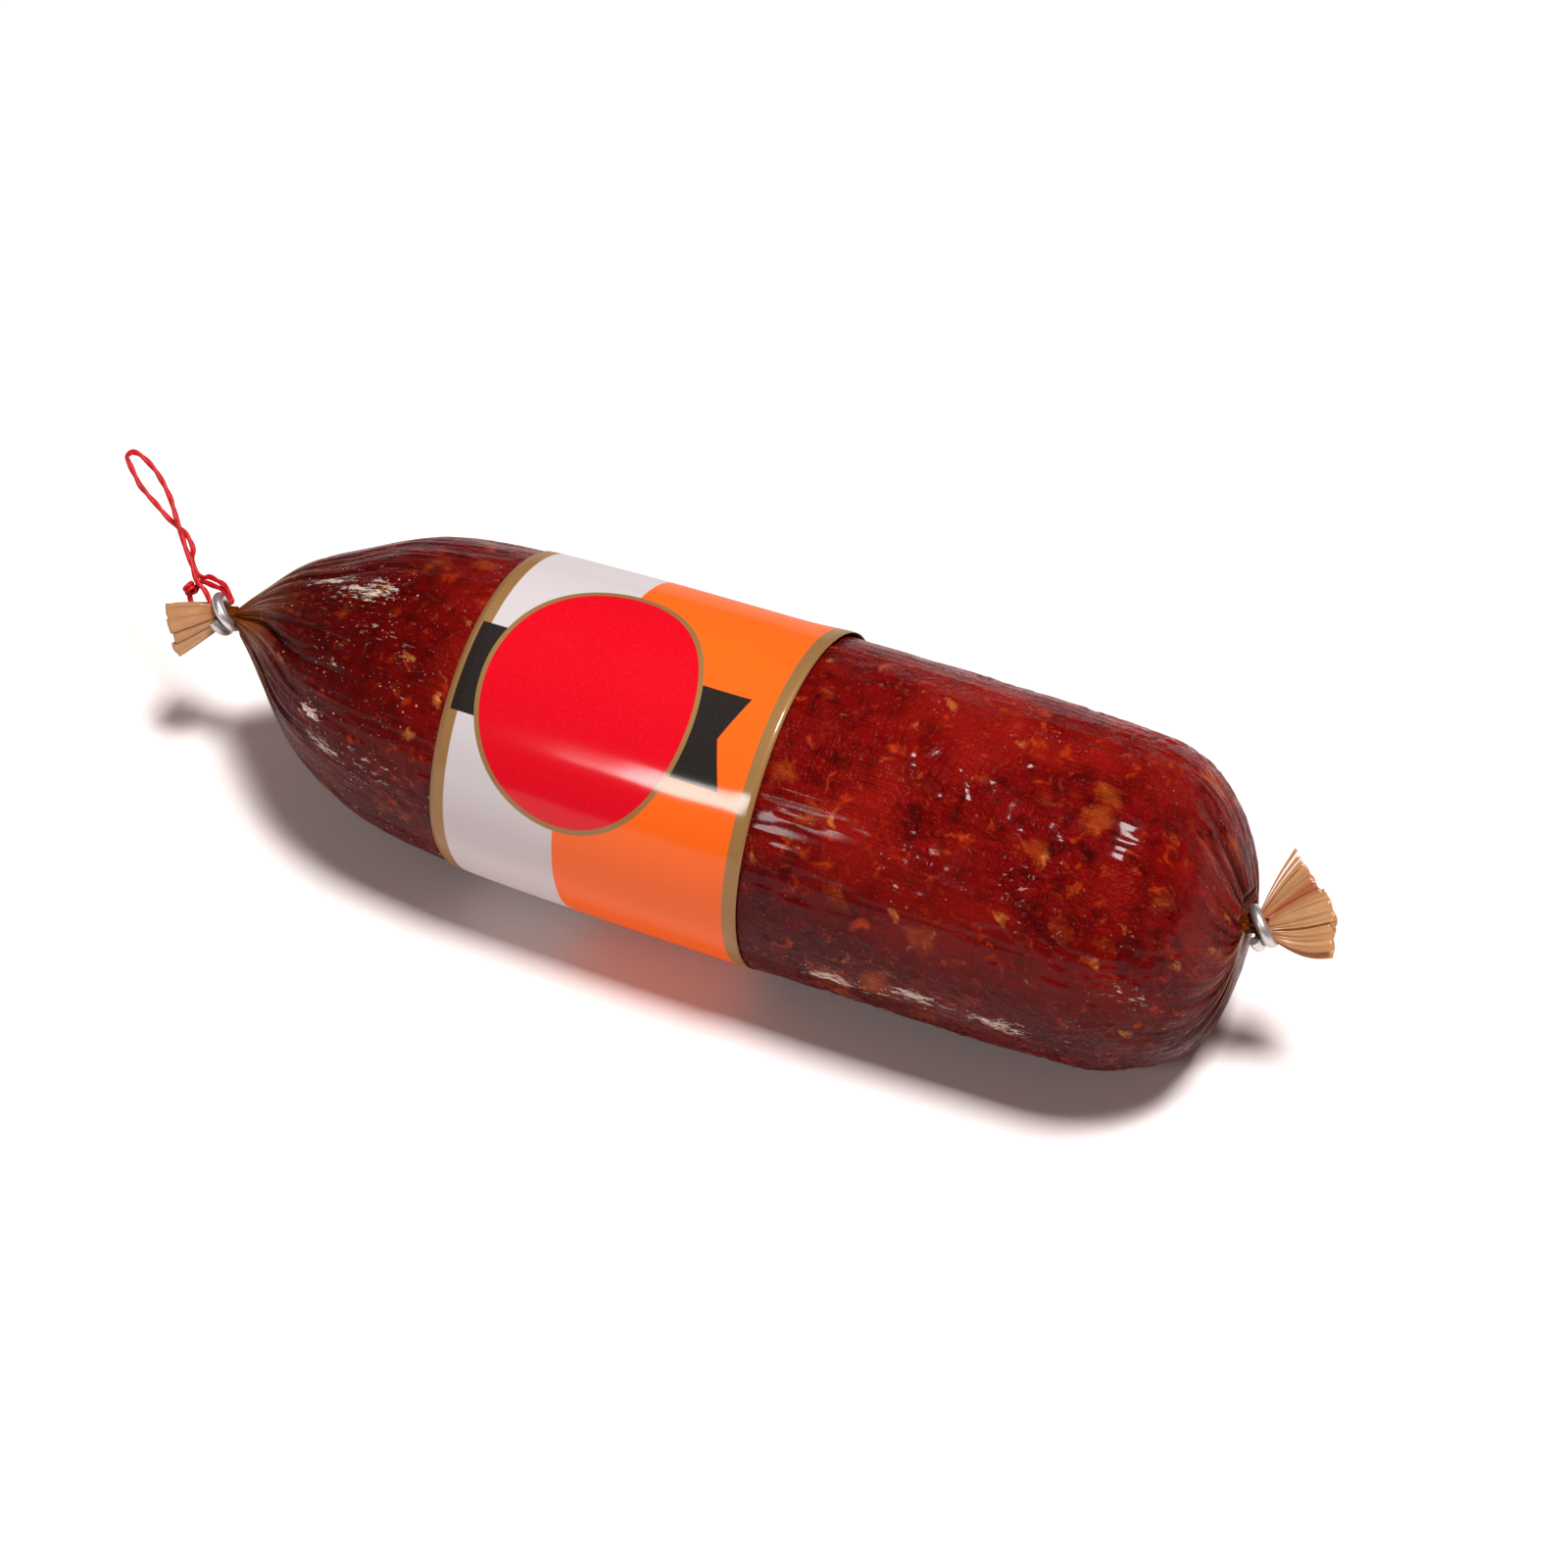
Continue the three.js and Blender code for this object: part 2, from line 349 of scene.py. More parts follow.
def keep_clear(points, end):
    """Pushes the body's surface back from its clip, along the clip's own axis."""
    room = WIRE_PITCH * WIRE_TURNS / 2 + WIRE_R
    offset = points - end.clip
    ahead = offset @ end.tilt
    radial = np.linalg.norm(offset - np.outer(ahead, end.tilt), axis=1)
    near = (1 - smooth(6.8, 11, radial)) * (radial > NECK_R + 0.25)
    push = np.clip(ahead + room, 0, None) * near
    return points - np.outer(push, end.tilt)


def body_surface(along, angle):
    """Points of the skin, and what its material reads, at arc lengths and angles (flat arrays).

    Angles are measured up from -Y, about the body's axis."""
    x = np.interp(along, OUTLINE_S, OUTLINE_X)
    radius = np.interp(along, OUTLINE_S, OUTLINE_R)
    around = np.stack([np.cos(angle), np.sin(angle)], axis=1)
    wrap = np.column_stack([along, around * BODY_R])
    # Lumps, and fine crumpling that leaves the band's place plain.
    free = smooth(BAND_HIGH[0] - 1, BAND_HIGH[0] + 12, x)
    barrel = smooth(8, 30, radius)
    bumps = 0.55 * layered(wrap / 38, 3, 2) * barrel
    crumple = np.abs(layered(wrap / np.array([5.5, 4.2, 4.2]), 21, 3))
    crumple = 0.42 * (smooth(0, 0.4, crumple) - 0.7)
    patches = smooth(-0.45, 0.35, lattice(wrap / 16, 33))
    bumps += crumple * patches * (0.25 + 0.75 * free) * barrel
    stretched = np.abs(layered(wrap / np.array([26, 2.6, 2.6]), 57, 2))
    bumps += 0.22 * (smooth(0, 0.5, stretched) - 0.6) * barrel
    loop_fold, loop_deep = LOOP_PLEATS.height(along, angle, radius)
    plain_fold, plain_deep = PLAIN_PLEATS.height(BODY_LENGTH - along, angle, radius)
    pinch = smooth(2.5, 9, radius)
    bumps += (loop_fold + plain_fold) * (0.35 + 0.65 * pinch)
    # Under the band the skin is pressed smooth.
    band = smooth(BAND_LOW[0] - 2, BAND_LOW[0] + 4, x) * (
        1 - smooth(BAND_HIGH[0] - 3, BAND_HIGH[0] + 1, x)
    )
    bumps = bumps * (1 - band) - 0.1 * band
    reach = np.maximum(radius + bumps, 0.75 * np.minimum(radius, NECK_R))
    points = np.column_stack([x, -reach * around[:, 0], reach * around[:, 1] + AXIS_Z])
    for end, side in ((LOOP_END, x < 0), (PLAIN_END, x >= 0)):
        y, z = lean(radius, end)
        points[:, 1] += y * side
        points[:, 2] += z * side
    points = keep_clear(keep_clear(points, LOOP_END), PLAIN_END)
    # The underside is pressed flat, with a rounded edge to the flat.
    floor = 0.75 * band
    over = points[:, 2] - floor
    soft = 0.8
    points[:, 2] = floor + (over + np.sqrt(over * over + soft * soft)) / 2
    points[:, 2] = np.where(over > 12, over + floor, points[:, 2])
    return points, wrap, np.maximum(loop_deep, plain_deep)


def neck_rings(end, tip, sides, angle, from_body):
    """Rings that carry the skin from the body's tip through the clip."""
    rings = []
    stop = end.clip + end.tilt * 2.5
    for t in np.linspace(0.15, 1, NECK_RINGS):
        centre = tip * (1 - t) + stop * t
        radius = NECK_SKIN_R * (1 + 0.1 * np.sin(9 * angle + 3 * t))
        rings.append(np.column_stack([
            np.full(sides, centre[0]),
            centre[1] - radius * np.cos(angle),
            centre[2] + radius * np.sin(angle),
        ]))
    return rings if from_body else rings[::-1]


def skin_part(name, from_along, to_along, rings, sides, material):
    """One open-ended length of the skin, with its neck at the end that has the clip."""
    at_loop_end = from_along == 0
    dense = np.linspace(0, 1, rings)
    along = from_along + (to_along - from_along) * dense
    angle = np.linspace(-math.pi, math.pi, sides, endpoint=False)
    s, a = (grid.ravel() for grid in np.meshgrid(along, angle, indexing="ij"))
    points, wrap, deep = body_surface(s, a)
    pale = bloom_amount(s, a)
    end = LOOP_END if at_loop_end else PLAIN_END
    tip_ring = points[:sides] if at_loop_end else points[-sides:]
    neck = neck_rings(end, tip_ring.mean(axis=0), sides, angle, not at_loop_end)
    neck_wrap = np.repeat((wrap[:sides] if at_loop_end else wrap[-sides:])[None], NECK_RINGS, axis=0)
    plain = np.zeros(NECK_RINGS * sides)

    def with_neck(on_neck, on_body):
        return np.concatenate([on_neck, on_body] if at_loop_end else [on_body, on_neck])

    points = with_neck(np.vstack(neck), points)
    wrap = with_neck(np.vstack(neck_wrap), wrap)
    faces = grid_faces(rings + NECK_RINGS, sides, closed=True)
    made = mesh_object(name, points, faces, material)
    add_attribute(made, "wrap", "FLOAT_VECTOR", wrap * MM)
    add_attribute(made, "crease", "FLOAT", with_neck(plain, deep))
    add_attribute(made, "bloom", "FLOAT", with_neck(plain, pale))
    return made


# ---- shader maths ----
class Value:
    """A number that varies over a surface: an expression on values adds its Math nodes."""

    def __init__(self, nodes, socket):
        self.nodes = nodes
        self.socket = socket

    def math(self, operation, *others, clamp=False):
        return self.nodes.number(operation, self, *others, clamp=clamp)

    def __add__(self, other):
        return self.math("ADD", other)

    def __radd__(self, other):
        return self.math("ADD", other)

    def __sub__(self, other):
        return self.math("SUBTRACT", other)

    def __rsub__(self, other):
        return self.nodes.number("SUBTRACT", other, self)

    def __mul__(self, other):
        return self.math("MULTIPLY", other)

    def __rmul__(self, other):
        return self.math("MULTIPLY", other)

    def __truediv__(self, other):
        return self.math("DIVIDE", other)

    def __pow__(self, other):
        return self.math("POWER", other)

    def __abs__(self):
        return self.math("ABSOLUTE")

    def larger(self, other):
        return self.math("MAXIMUM", other)

    def smaller(self, other):
        return self.math("MINIMUM", other)

    def step(self, low, high):
        """0 below low and 1 above high, smooth between; low above high turns it round."""
        settings = {"interpolation_type": "SMOOTHSTEP"}
        if low > high:
            node = self.nodes.add("ShaderNodeMapRange", settings, {
                "Value": self, "From Min": high, "From Max": low, "To Min": 1.0, "To Max": 0.0,
            })
        else:
            node = self.nodes.add("ShaderNodeMapRange", settings, {
                "Value": self, "From Min": low, "From Max": high,
            })
        return Value(self.nodes, node.outputs["Result"])


class Nodes:
    """A material under construction."""

    def __init__(self, name):
        self.material = bpy.data.materials.new(name)
        self.material.use_nodes = True
        self.tree = self.material.node_tree
        self.tree.nodes.clear()

    def add(self, kind, settings=None, values=None):
        """A node of any kind: its settings are set first, then its sockets' values or links."""
        node = self.tree.nodes.new(kind)
        for key, value in (settings or {}).items():
            setattr(node, key, value)
        for key, value in (values or {}).items():
            self.feed(node.inputs[key], value)
        return node

    def feed(self, socket, value):
        source = getattr(value, "socket", value)
        if isinstance(source, bpy.types.NodeSocket):
            self.tree.links.new(source, socket)
        elif hasattr(source, "__len__") and len(source) == 3 and socket.type == "RGBA":
            socket.default_value = (*source, 1)
        else:
            socket.default_value = source

    def number(self, operation, *values, clamp=False):
        node = self.add("ShaderNodeMath", {"operation": operation, "use_clamp": clamp})
        for socket, value in zip(node.inputs, values):
            self.feed(socket, value)
        return Value(self, node.outputs["Value"])

    def attribute(self, name, output="Fac"):
        return self.add("ShaderNodeAttribute", {"attribute_name": name}).outputs[output]

    def value(self, socket):
        return Value(self, socket)

    def vector(self, operation, *values):
        node = self.add("ShaderNodeVectorMath", {"operation": operation})
        for socket, value in zip(node.inputs, values):
            self.feed(socket, value)
        return node.outputs["Vector"]

    def scaled(self, vector, amounts):
        return self.vector("MULTIPLY", vector, amounts)

    def noise(self, vector, scale=1.0, detail=2.0, roughness=0.5):
        node = self.add("ShaderNodeTexNoise", None, {
            "Vector": vector, "Scale": scale, "Detail": detail, "Roughness": roughness,
        })
        return Value(self, node.outputs["Fac"])

    def shifted(self, vector, scale, amount):
        """A vector moved about by noise, so that a pattern on it isn't regular."""
        node = self.add("ShaderNodeTexNoise", None, {"Vector": vector, "Scale": scale})
        centred = self.vector("SUBTRACT", node.outputs["Color"], (0.5, 0.5, 0.5))
        return self.vector("ADD", vector, self.scaled(centred, (amount,) * 3))

    def spots(self, vector, scale, share, radius, soft):
        """Spots in some of a pattern's cells: 1 inside a spot. radius is a share of a cell."""
        node = self.add("ShaderNodeTexVoronoi", None, {"Vector": vector, "Scale": scale})
        parts = self.add("ShaderNodeSeparateColor", None, {"Color": node.outputs["Color"]})
        picked = Value(self, parts.outputs["Red"]).step(1 - share, 1 - share + 0.02)
        size = Value(self, parts.outputs["Green"]) * radius * 0.7 + radius * 0.3
        distance = Value(self, node.outputs["Distance"])
        inside = ((size - distance) / soft).math("ADD", 0.5, clamp=True)
        return inside * picked

    def mix(self, amount, first, second):
        node = self.add("ShaderNodeMix", {"data_type": "RGBA"})
        factor = next(s for s in node.inputs if s.name == "Factor" and s.type == "VALUE")
        a, b = (s for s in node.inputs if s.type == "RGBA")
        for socket, value in ((factor, amount), (a, first), (b, second)):
            self.feed(socket, value)
        return next(s for s in node.outputs if s.type == "RGBA")

    def bump(self, height, strength, distance, normal=None):
        values = {"Height": height, "Strength": strength, "Distance": distance}
        if normal is not None:
            values["Normal"] = normal
        return self.add("ShaderNodeBump", None, values).outputs["Normal"]

    def surface(self, values):
        return self.add("ShaderNodeBsdfPrincipled", None, values)

    def finish(self, shader):
        output = self.add("ShaderNodeOutputMaterial")
        self.tree.links.new(shader, output.inputs["Surface"])
        return self.material


# ---- finishes ----
def casing_material(look):
    """Cured meat seen through a glossy casing: fat flecks, pepper, creases and pale bloom, with
    painted shade in the creases and on the underside.
    """
    n = Nodes("casing")
    wrap = n.attribute("wrap", "Vector")
    crease = n.value(n.attribute("crease"))
    bloom_place = n.value(n.attribute("bloom"))
    parts = n.add("ShaderNodeSeparateXYZ", None, {"Vector": wrap})
    along, front, up = (n.value(parts.outputs[axis]) for axis in "XYZ")

    # The meat: grain, broad patches, and fine lines stretched along the casing.
    meat = n.shifted(wrap, 160, 0.006)
    grain = n.noise(meat, 190, detail=3, roughness=0.55)
    broad = n.noise(wrap, 34, detail=2)
    lines = n.noise(n.scaled(wrap, (60, 900, 900)), detail=3, roughness=0.6)
    colour = n.mix(grain.step(0.2, 0.62), look.deep_red, look.red)
    colour = n.mix(broad.step(0.46, 0.66) * 0.6, colour, look.bright_red)
    colour = n.mix(lines.step(0.52, 0.75) * 0.3, colour, look.deep_red)
    loop_half = along.step(0.135, 0.06)
    # Painted shade: the underside is darkened towards deep red, and the loop half's meat is darker
    # too.
    painted_underside_shade = up.step(0.04, 0.0)
    shade = (loop_half * 0.6).larger(painted_underside_shade * 0.65)
    colour = n.mix(shade, colour, look.deep_red)

    # Fat under the casing: soft patches, small flecks, and a few sharp ones.
    soft = n.noise(meat, 110, detail=3, roughness=0.55).step(0.6, 0.78)
    colour = n.mix(soft * (0.7 - loop_half * 0.35), colour, look.orange_red)
    small = n.noise(meat, 260, detail=2).step(0.6, 0.8)
    colour = n.mix(small * (0.65 - loop_half * 0.2), colour, look.orange_red)
    torn = n.shifted(n.shifted(wrap, 120, 0.01), 400, 0.005)
    big = n.spots(torn, 84, 0.16, 0.26, 0.55)
    colour = n.mix(big * grain * 1.4, colour, look.fat)
    pale = n.spots(n.shifted(torn, 90, 0.004), 170, 0.1, 0.24, 0.4)
    colour = n.mix(pale * grain * 1.4, colour, look.pale_fat)
    pepper = n.spots(n.shifted(wrap, 500, 0.002), 50, 0.3, 0.05, 0.03)
    colour = n.mix(pepper * 0.8, colour, look.pepper)

    # Thin, gathered casing shows amber at the necks and along the creases there.
    loop_neck = along.step(0.04, 0.006)
    plain_neck = along.step((BODY_LENGTH - 20) * MM, (BODY_LENGTH - 3) * MM)
    neck = loop_neck.larger(plain_neck)
    streaks = n.noise(n.scaled(wrap, (30, 330, 330)), detail=2).step(0.4, 0.62)
    colour = n.mix(neck * (streaks * 0.55 + 0.4), colour, look.amber)
    # Folds run in to the necks, all but those on the smooth front of the plain end.
    smooth_front = ((front * 0.6 + up * 0.8) / (BODY_R * MM)).step(0.8, 0.95)
    plain_folds = along.step(0.285, 0.33) * (1 - smooth_front * 0.85)
    gathered = plain_folds.larger(along.step(0.08, 0.02))
    folds = abs(n.noise(n.scaled(n.shifted(wrap, 30, 0.008), (14, 120, 120)), detail=2) - 0.5)
    amber = folds.step(0.06, 0.15) * along.step(0.05, 0.02).larger(along.step(0.318, 0.345))
    colour = n.mix(amber * streaks * 0.6, colour, look.amber)
    # Painted shade: the fold valleys near the necks and the deep creases are darkened towards deep
    # red.
    painted_fold_shade = (folds.step(0.05, 0.0) * gathered * 0.75).larger((crease * 1.3).smaller(0.85))
    colour = n.mix(painted_fold_shade * (1 - neck * 0.6), colour, look.deep_red)

    # Pale bloom lies in broken smears and in fine specks.
    smear = n.noise(n.scaled(wrap, (230, 700, 700)), detail=5, roughness=0.72)
    smears = ((smear + bloom_place * 0.3) - 0.72).math("MULTIPLY", 11, clamp=True)
    clusters = n.noise(wrap, 60, detail=2).step(0.46, 0.66)
    specks = n.spots(n.shifted(wrap, 1500, 0.0006), 900, 0.16, 0.34, 0.2)
    fine = (specks * (clusters * (loop_half * 0.6 + 0.3) + bloom_place)).smaller(1)
    bloom = smears.larger(fine * 0.8)
    colour = n.mix(bloom * 0.75, colour, look.bloom)

    # The casing is crumpled like foil: flat facets between sharp creases, in two sizes, with
    # smoother stretches between them, long thin scratches both ways, and fine stretched lines.
    facets = abs(n.noise(n.shifted(wrap, 70, 0.008), 190, detail=1.5) - 0.5)
    small_facets = abs(n.noise(n.shifted(wrap, 160, 0.003), 520, detail=2) - 0.5)
    where = n.noise(wrap, 42, detail=2).step(0.33, 0.58) * 0.7 + 0.3
    around = n.noise(n.scaled(n.shifted(wrap, 22, 0.01), (420, 34, 34)), detail=0)
    lengthwise = n.noise(n.scaled(n.shifted(wrap, 22, 0.006), (22, 420, 420)), detail=0)
    sparse = n.noise(n.shifted(wrap, 60, 0.01), 75, detail=1)
    scratches = abs(around - 0.5).step(0.05, 0.0) * sparse.step(0.5, 0.62)
    scratches = scratches + abs(lengthwise - 0.5).step(0.045, 0.0) * sparse.step(0.52, 0.4)
    grooves = abs(n.noise(n.scaled(n.shifted(wrap, 40, 0.004), (36, 330, 330)), detail=2) - 0.5)
    foil = (facets * 2.1 + small_facets * 2.3) * where * (1 - loop_half * 0.65)
    height = foil + grooves * loop_half * 2.6 + folds * gathered * 4.2
    height = height + lines * (loop_half * 0.3 + 0.16) + scratches * 0.22 + bloom * 0.12
    normal = n.bump(height, 1.0, 0.001)

    rough = grain * 0.1 + 0.1 + bloom * 0.45
    return n.finish(n.surface({
        "Base Color": colour,
        "Roughness": rough,
        "Specular IOR Level": 0.02,
        "Coat Weight": (1 - bloom) * (1 - crease * 0.5) * 0.065,
        "Coat Roughness": 0.1,
        "Coat IOR": 2.0,
        "Normal": normal,
    }).outputs["BSDF"])


def paper_material(look):
    """Printed paper. The print's place is the attribute: metres along X, and round the band."""
    n = Nodes("printed_paper")
    place = n.attribute("print", "Vector")
    parts = n.add("ShaderNodeSeparateXYZ", None, {"Vector": place})
    x = n.value(parts.outputs["X"])
    y = n.value(parts.outputs["Y"])
    edge = 0.0002

    split = BAND_LOW[0] * MM + 0.038
    colour = n.mix(x.step(split - edge, split + edge), look.white, look.orange)
    strip = 0.0042
    low, high = BAND_LOW[0] * MM, BAND_HIGH[0] * MM
    gold = x.step(low + strip + edge, low + strip - edge).larger(
        x.step(high - strip - edge, high - strip + edge)
    )
    colour = n.mix(gold, colour, look.gold)

    # A ribbon with a swallowtail end, behind a bare oval badge.
    half_ribbon = 0.0135
    notch = (1 - abs(y) / half_ribbon) * 0.0048
    ribbon = abs(y).step(half_ribbon + edge, half_ribbon - edge)
    ribbon = ribbon * x.step(low + 0.0018 - edge, low + 0.0018 + edge)
    ribbon = ribbon * (x + notch).step(0.0137 + edge, 0.0137 - edge)
    colour = n.mix(ribbon, colour, look.ribbon)
    oval_x, oval_y = 0.0312, 0.0385
    reach = ((((x - split - 0.0007) / oval_x) ** 2) + ((y / oval_y) ** 2)) ** 0.5
    rim = reach.step(1.0 + 0.012, 1.0)
    badge = reach.step(0.967, 0.957)
    colour = n.mix(rim, colour, look.gold)
    colour = n.mix(badge, colour, look.badge)

    mottle = n.noise(place, 900, detail=3)
    colour = n.mix(mottle.step(0.45, 0.8) * 0.025, colour, (0.25, 0.2, 0.18))
    shine = gold.larger(rim - badge)
    waves = n.noise(n.scaled(place, (28, 18, 1)), detail=2)
    fibres = n.noise(place, 2600, detail=2)
    normal = n.bump(waves, 0.6, 0.0009)
    normal = n.bump(fibres, 0.2, 0.00003, normal)
    return n.finish(n.surface({
        "Base Color": colour,
        "Roughness": mottle * 0.15 + 0.5,
        "Metallic": shine * 0.3,
        "Specular IOR Level": 0.03,
        "Coat Weight": 0.15,
        "Coat Roughness": 0.11,
        "Coat IOR": 2.2,
        "Normal": normal,
    }).outputs["BSDF"])


def tail_material(name, look, stain):
    """Empty casing: thin, see-through and lined along its pleats."""
    n = Nodes(name)
    place = n.attribute("fan", "Vector")
    parts = n.add("ShaderNodeSeparateXYZ", None, {"Vector": place})
    turn, out = n.value(parts.outputs["X"]), n.value(parts.outputs["Y"])
    lines = n.noise(n.scaled(place, (30, 1.1, 3)), detail=2, roughness=0.55)
    patches = n.noise(n.scaled(place, (5, 3, 3)), detail=2)
    colour = n.mix(lines.step(0.2, 0.55), look.straw_dark, look.straw)
    browner = patches.step(0.35, 0.75) * 0.35 if stain else patches.step(0.1, 0.7) * 0.4 + 0.6
    colour = n.mix(browner, colour, look.straw_dark)
    colour = n.mix(out.step(0.45, 0.05) * 0.7, colour, look.amber)
    clear = 0.42 if stain else 0.12
    if stain:
        streak = abs(turn - 0.24 - out * 0.06).step(0.17, 0.04) * out.step(0.05, 0.2)
        colour = n.mix(streak * (lines * 0.4 + 0.6), colour, look.stain)
        clear = 0.42 - streak * 0.38
    normal = n.bump(lines, 0.4, 0.0003)
    skin = n.surface({
        "Base Color": colour, "Roughness": 0.32, "Coat Weight": 0.4,
        "Coat Roughness": 0.15, "Normal": normal,
    })
    through = n.add("ShaderNodeBsdfTranslucent", None, {"Color": look.straw, "Normal": normal})
    both = n.add("ShaderNodeMixShader", None, {"Fac": clear})
    n.tree.links.new(skin.outputs["BSDF"], both.inputs[1])
    n.tree.links.new(through.outputs["BSDF"], both.inputs[2])
    return n.finish(both.outputs["Shader"])


def wire_material():
    n = Nodes("clip_wire")
    place = n.attribute("wire", "Vector")
    drawn = n.noise(n.scaled(place, (9, 500, 500)), detail=3)
    smudges = n.noise(place, 40, detail=3)
    colour = n.mix(smudges.step(0.4, 0.75), (0.66, 0.65, 0.64), (0.46, 0.45, 0.44))
    normal = n.bump(drawn, 0.5, 0.00012)
    return n.finish(n.surface({
        "Base Color": colour, "Metallic": 0.9,
        "Roughness": smudges * 0.2 + 0.28, "Normal": normal,
    }).outputs["BSDF"])


def string_material(look):
    n = Nodes("string")
    place = n.attribute("ply", "Vector")
    strands = n.noise(n.scaled(place, (160, 1.8, 1.8)), detail=3, roughness=0.6)
    broad = n.noise(n.scaled(place, (120, 0.4, 0.4)), detail=1)
    colour = n.mix(strands.step(0.2, 0.5), look.string_dark, look.string)
    colour = n.mix(broad.step(0.5, 0.75) * 0.6, colour, look.string_dark)
    normal = n.bump(strands, 0.35, 0.00015)
    return n.finish(n.surface({
        "Base Color": colour, "Roughness": strands * 0.2 + 0.35,
        "Specular IOR Level": 0.3, "Normal": normal,
    }).outputs["BSDF"])


# ---- pieces ----
# Where pale bloom has settled: place along X in millimetres, angle up from -Y in degrees, half
# length and half height in millimetres, and strength.
BLOOM = [
    (-119, 85, 14, 4, 0.9), (-107, 79, 16, 7, 0.9), (-98, 66, 14, 12, 0.45), (-84, 52, 9, 20, 0.4),
    (-113, 22, 7, 4, 1.0), (-107, 11, 9, 4, 0.9), (-108, 45, 12, 3, 0.6), (-90, 10, 16, 12, 0.5),
    (52, -14, 10, 5, 1.0), (77, -10, 12, 4, 0.9), (100, -12, 12, 5, 1.0), (70, -16, 30, 7, 0.5),
    (133, 16, 8, 5, 0.8), (120, -12, 14, 8, 0.4), (62, 6, 26, 3, 0.3), (-100, 200, 20, 14, 0.7),
    (80, 170, 24, 10, 0.7), (40, 220, 18, 9, 0.6),
]


def bloom_amount(along, angle):
    total = np.zeros_like(along)
    for x, degrees, length, tall, strength in BLOOM:
        turn = (angle - math.radians(degrees) + math.pi) % (2 * math.pi) - math.pi
        reach = ((along - along_at(x)) / length) ** 2 + (turn * BODY_R / tall) ** 2
        total = np.maximum(total, strength * np.exp(-reach))
    return total


def band_shell(material):
    """The paper band: a strip that laps over itself at the back, with its far edge lifting."""
    columns, rows = 300, 60
    seam, badge_middle = math.radians(205), math.radians(60)
    lap = 0.24
    turn = np.linspace(0, 2 * math.pi + lap, columns)
    x = np.linspace(BAND_LOW[0], BAND_HIGH[0], rows)
    xs, turns = np.meshgrid(x, turn, indexing="ij")
    angle = seam + turns
    radius = np.interp(along_at(xs.ravel()), OUTLINE_S, OUTLINE_R).reshape(xs.shape)
    layer = GAP + PAPER + (PAPER + 0.15) * smooth(2 * math.pi - 0.25, 2 * math.pi, turns)
    # The plain-end edge stands a little off the skin over the top and the back.
    from_edge = BAND_HIGH[0] - xs
    facing = np.exp(-((((np.degrees(angle) - 100 + 180) % 360 - 180) / 60) ** 2))
    lift = 1.1 * facing * np.exp(-((from_edge / 9) ** 2))
    near_edge = np.minimum(from_edge, xs - BAND_LOW[0])
    ripple = 0.22 * np.sin(5 * angle + 0.7) * np.exp(-near_edge / 7)
    place = np.column_stack([xs.ravel(), 48 * np.cos(angle).ravel(), 48 * np.sin(angle).ravel()])
    waves = 0.16 * layered(place / 24, 71, 2).reshape(xs.shape)
    outer = radius + layer + lift + np.maximum(ripple + waves, -0.25)
    angle_of_print = (angle - badge_middle + math.pi) % (2 * math.pi) - math.pi

    def sheet(reach, floor):
        z = AXIS_Z + reach * np.sin(angle)
        z = floor + (z - floor + np.sqrt((z - floor) ** 2 + 0.6)) / 2 - 0.05
        return np.column_stack([xs.ravel(), (-reach * np.cos(angle)).ravel(), z.ravel()])

    off_floor = 0.02
    outside = sheet(outer, off_floor)
    inside = sheet(outer - PAPER, off_floor + PAPER)
    points = np.vstack([outside, inside])
    made = mesh_object("band", points, sheet_faces(rows, columns), material)
    printed = np.column_stack([
        xs.ravel(), (angle_of_print * BODY_R).ravel(), np.zeros(xs.size),
    ]) * MM
    add_attribute(made, "print", "FLOAT_VECTOR", np.vstack([printed, printed]))
    return made


def tube(path, radius, sides):
    """Points and faces of a tube with flat ends; radius may vary along its path."""
    one, two = carried_frames(path)
    angle = np.linspace(0, 2 * math.pi, sides, endpoint=False)
    ring = one[:, None] * np.cos(angle)[None, :, None] + two[:, None] * np.sin(angle)[None, :, None]
    points = (path[:, None] + ring * radius[:, None, None]).reshape(-1, 3)
    faces = [face[::-1] for face in grid_faces(len(path), sides, closed=True)]
    faces.append(list(range(sides)))
    faces.append(list(range(len(points) - sides, len(points)))[::-1])
    return points, faces


def twisted(path):
    """A two-ply string along a path: the points, the faces, and the place along each ply."""
    path = evenly(path, PLY_STEP)
    one, two = carried_frames(path)
    length = np.arange(len(path)) * PLY_STEP
    spin = 2 * math.pi * length / PLY_PITCH
    plies = []
    for ply in range(2):
        turn = (spin + ply * math.pi)[:, None]
        offset = (one * np.cos(turn) + two * np.sin(turn)) * STRING_R * 0.3
        thick = STRING_R * (0.8 + 0.05 * np.sin(length * 0.9 + 2 * ply))
        points, faces = tube(path + offset, thick, PLY_SIDES)
        side = np.tile(np.arange(PLY_SIDES), len(path))
        angle = side * 2 * math.pi / PLY_SIDES + np.repeat(spin * 1.8, PLY_SIDES) + ply
        place = np.column_stack([
            np.repeat(length, PLY_SIDES) * MM, np.cos(angle), np.sin(angle),
        ])
        plies.append((points, faces, place))
    return joined(plies)


def joined(parts):
    """Several lots of points, faces and places as one."""
    points, faces, places = [], [], []
    for part_points, part_faces, part_places in parts:
        first = sum(len(p) for p in points)
        points.append(part_points)
        places.append(part_places)
        faces += [[corner + first for corner in face] for face in part_faces]
    return np.vstack(points), faces, np.vstack(places)


